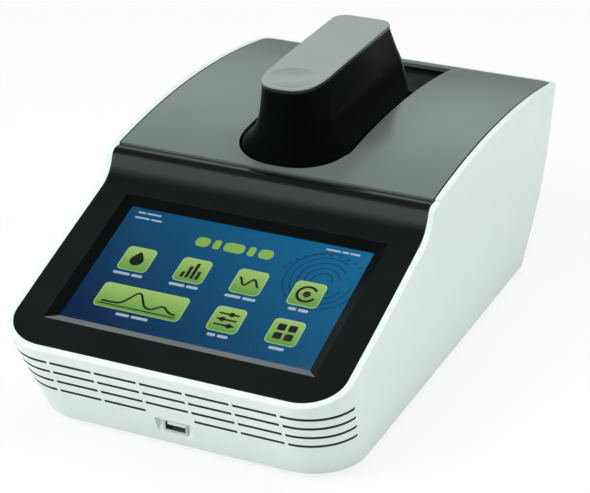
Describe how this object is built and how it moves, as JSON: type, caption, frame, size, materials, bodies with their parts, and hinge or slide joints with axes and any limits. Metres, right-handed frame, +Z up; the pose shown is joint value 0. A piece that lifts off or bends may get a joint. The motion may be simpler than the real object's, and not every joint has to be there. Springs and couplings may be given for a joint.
{
  "type": "microvolume spectrophotometer",
  "caption": "Desk instrument with a tilted touch display, a crowned grey deck and a hinged sample arm over a lifting pedestal.",
  "frame": {"origin": "on the table, under the middle of the bounding box", "axes": "+Z up, the display and the vents face -Y, +X is the right hand of somebody in front of the instrument"},
  "size_m": [0.21, 0.352, 0.1678],
  "materials": {
    "case_white": "satin gloss moulded white",
    "panel_black": "piano-black gloss",
    "deck_grey": "metallic grey gloss",
    "arm_black": "piano-black gloss",
    "cap_grey": "light grey satin paint",
    "tray_black": "fine textured black",
    "cover_grey": "fine textured light grey",
    "rubber_black": "matt",
    "screw_steel": "bright zinc",
    "screen_glass": "polished",
    "screen_dark": "lit display face",
    "sheet_steel": "plated sheet",
    "board_green": "solder mask",
    "post_steel": "nickel plated",
    "port_white": "moulded",
    "frame_aluminium": "machined, clear anodised",
    "rear_dark": "fine textured black",
    "fan_black": "moulded",
    "pin_brass": "turned",
    "pedestal_steel": "polished stainless",
    "motor_black": "black laminations",
    "bench_black": "black anodised",
    "mirror_coat": "front coated",
    "chip_black": "moulded",
    "lamp_glass": "clear",
    "fibre_jacket": "blue jacket"
  },
  "bodies": {
    "base": {"upper_case": "case_white", "front_panel": "panel_black", "deck_cover": "deck_grey", "sample_tray": "tray_black", "base_cover": "cover_grey", "rubber_feet": "rubber_black", "arm_bumpers": "rubber_black", "base_screws": "screw_steel", "display_screws": "screw_steel", "guide_rods": "screw_steel", "touch_glass": "screen_glass", "display_panel": "screen_dark", "display_frame": "sheet_steel", "motor_bracket": "sheet_steel", "front_port_shell": "sheet_steel", "rear_port_shell": "sheet_steel", "display_board": "board_green", "front_port_board": "board_green", "main_board": "board_green", "connector_board": "board_green", "display_spacers": "post_steel", "board_standoffs": "post_steel", "chassis_posts": "post_steel", "platform_posts": "post_steel", "front_port_tongue": "port_white", "rear_port_tongue": "port_white", "chassis_plate": "frame_aluminium", "arm_platform": "frame_aluminium", "hinge_bracket": "frame_aluminium", "processor_cooler": "frame_aluminium", "rear_plate": "rear_dark", "power_inlet": "rear_dark", "switch_housing": "rear_dark", "fan_frame": "fan_black", "inlet_pin": "pin_brass", "hinge_bushes": "pin_brass", "guide_bush": "pin_brass", "sample_plate": "pedestal_steel", "lift_motor": "motor_black", "optical_bench": "bench_black", "bench_lid": "bench_black", "lamp_housing": "bench_black", "bench_mirrors": "mirror_coat", "diffraction_grating": "mirror_coat", "line_detector": "chip_black", "flash_lamp": "lamp_glass", "detector_fibre": "fibre_jacket", "lamp_fibre": "fibre_jacket"},
    "arm": {"arm_shell": "arm_black", "arm_cap": "cap_grey", "arm_frame": "frame_aluminium", "upper_pedestal": "pedestal_steel", "hinge_pin": "screw_steel", "arm_screws": "screw_steel", "arm_fibre": "fibre_jacket"},
    "lift": {"lower_pedestal": "pedestal_steel", "lift_carriage": "frame_aluminium"},
    "screw": {"lead_screw": "screw_steel"},
    "fan": {"fan_rotor": "fan_black"},
    "rocker": {"power_rocker": "rear_dark"}
  },
  "joints": [
    {"name": "arm_hinge", "type": "hinge", "parent": "base", "child": "arm", "pos_m": [0, 0.1097, 0.1355], "axis": [-1, 0, 0], "range_deg": [0, 95]},
    {"name": "lead_screw_turn", "type": "hinge", "parent": "base", "child": "screw", "pos_m": [0.026, 0, 0.08], "axis": [0, 0, 1], "range_deg": [0, 343]},
    {"name": "pedestal_lift", "type": "slide", "parent": "base", "child": "lift", "axis": [0, 0, 1], "range_m": [0, 0.00095]},
    {"name": "fan_spin", "type": "hinge", "parent": "base", "child": "fan", "pos_m": [-0.045, 0.13, 0.035], "axis": [0, 1, 0], "continuous": true},
    {"name": "power_rocker_tilt", "type": "hinge", "parent": "base", "child": "rocker", "pos_m": [0.054, 0.1375, 0.035], "axis": [1, 0, 0], "range_deg": [0, 16]}
  ],
  "couplings": [
    {"joint": "lead_screw_turn", "follows": "pedestal_lift", "rad_per_m": 6283.2}
  ]
}
